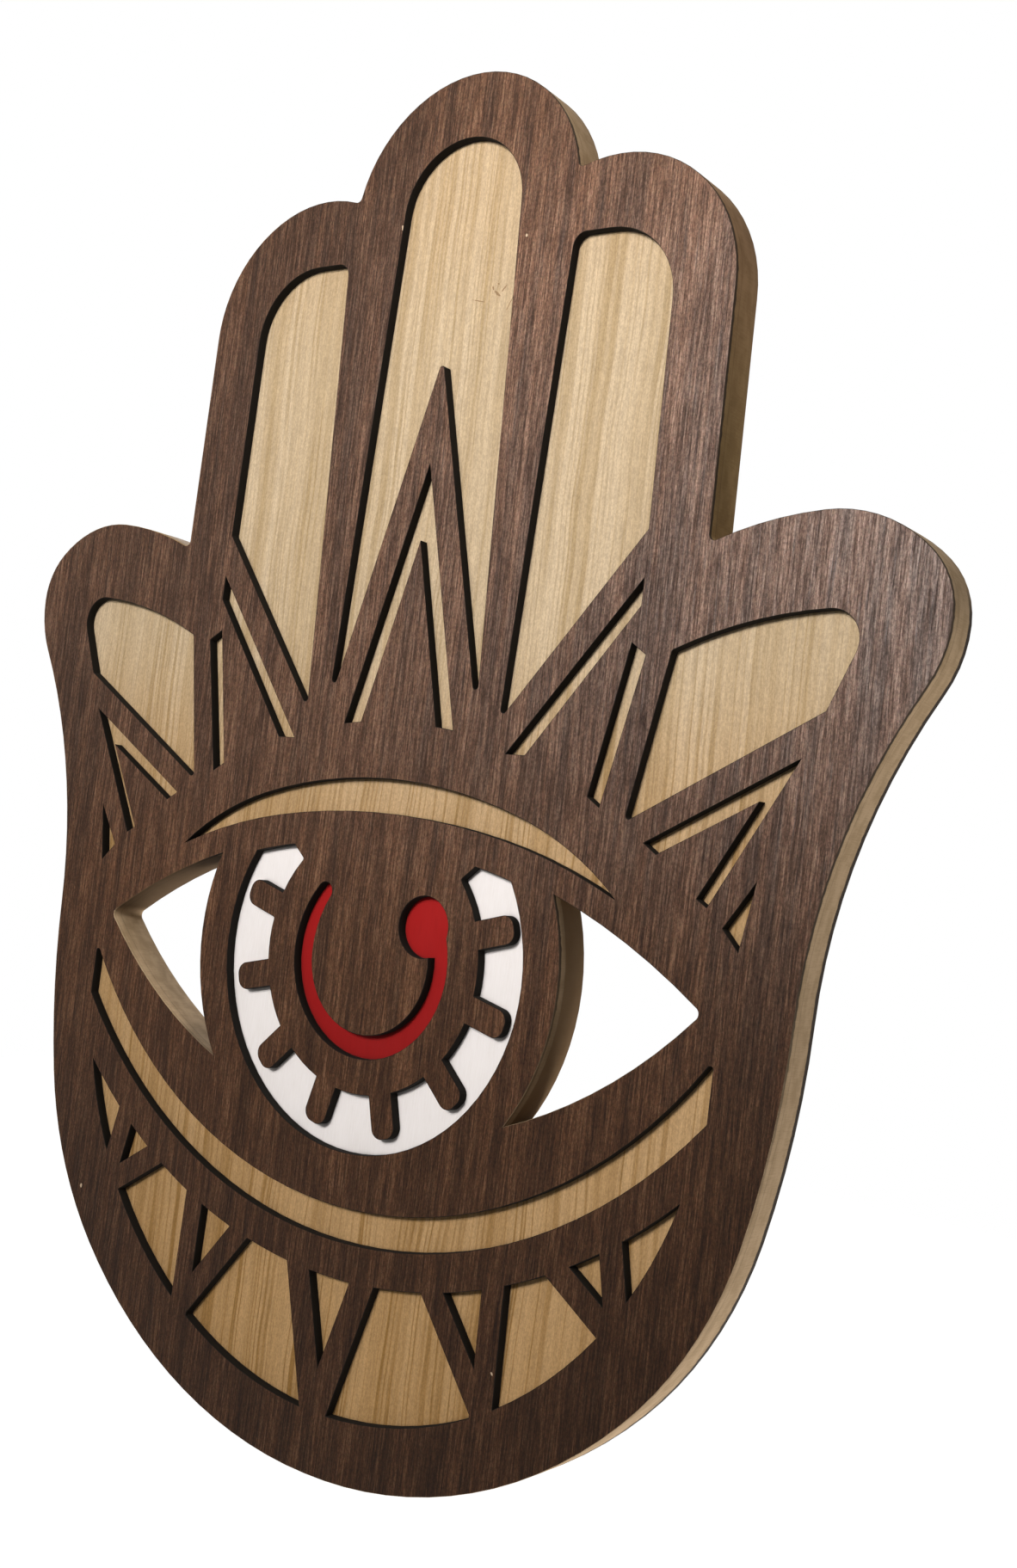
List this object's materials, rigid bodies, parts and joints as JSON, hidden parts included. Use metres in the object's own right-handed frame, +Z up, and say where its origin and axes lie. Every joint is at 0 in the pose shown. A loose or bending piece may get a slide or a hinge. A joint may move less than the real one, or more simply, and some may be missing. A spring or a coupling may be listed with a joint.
{
  "type": "hamsa hand wall ornament",
  "caption": "Hand-shaped wall ornament in layered wood: dark fretwork face over light veneer, painted eye with openings at its corners, sawtooth hanger and bumper pads behind.",
  "frame": {"origin": "on the wall plane, behind the middle notch of the sawtooth hanger", "axes": "+X to the viewer's right seen from the room, +Y into the wall, +Z up; the face looks along -Y"},
  "size_m": [0.32, 0.0145, 0.3989],
  "materials": {
    "dark_stained_wood": "dark brown stain over straight vertical grain, matt, with charred cut walls",
    "light_veneer": "unstained straight-grained veneer, matt",
    "board_wood": "sanded brown sheet edge, matt",
    "white_painted_wood": "thin matt white paint over the grain",
    "red_painted_wood": "matt deep red paint",
    "hanger_steel": "thin zinc-plated strip",
    "screw_steel": "zinc-plated pan-head screw",
    "bumper_rubber": "soft black self-adhesive pad"
  },
  "bodies": {
    "root": {"front_fretwork": "dark_stained_wood", "face_veneer": "light_veneer", "core_board": "board_wood", "iris_inset": "white_painted_wood", "pupil_inset": "red_painted_wood", "sawtooth_hanger": "hanger_steel", "hanger_screws": "screw_steel", "wall_bumpers": "bumper_rubber"}
  },
  "joints": []
}
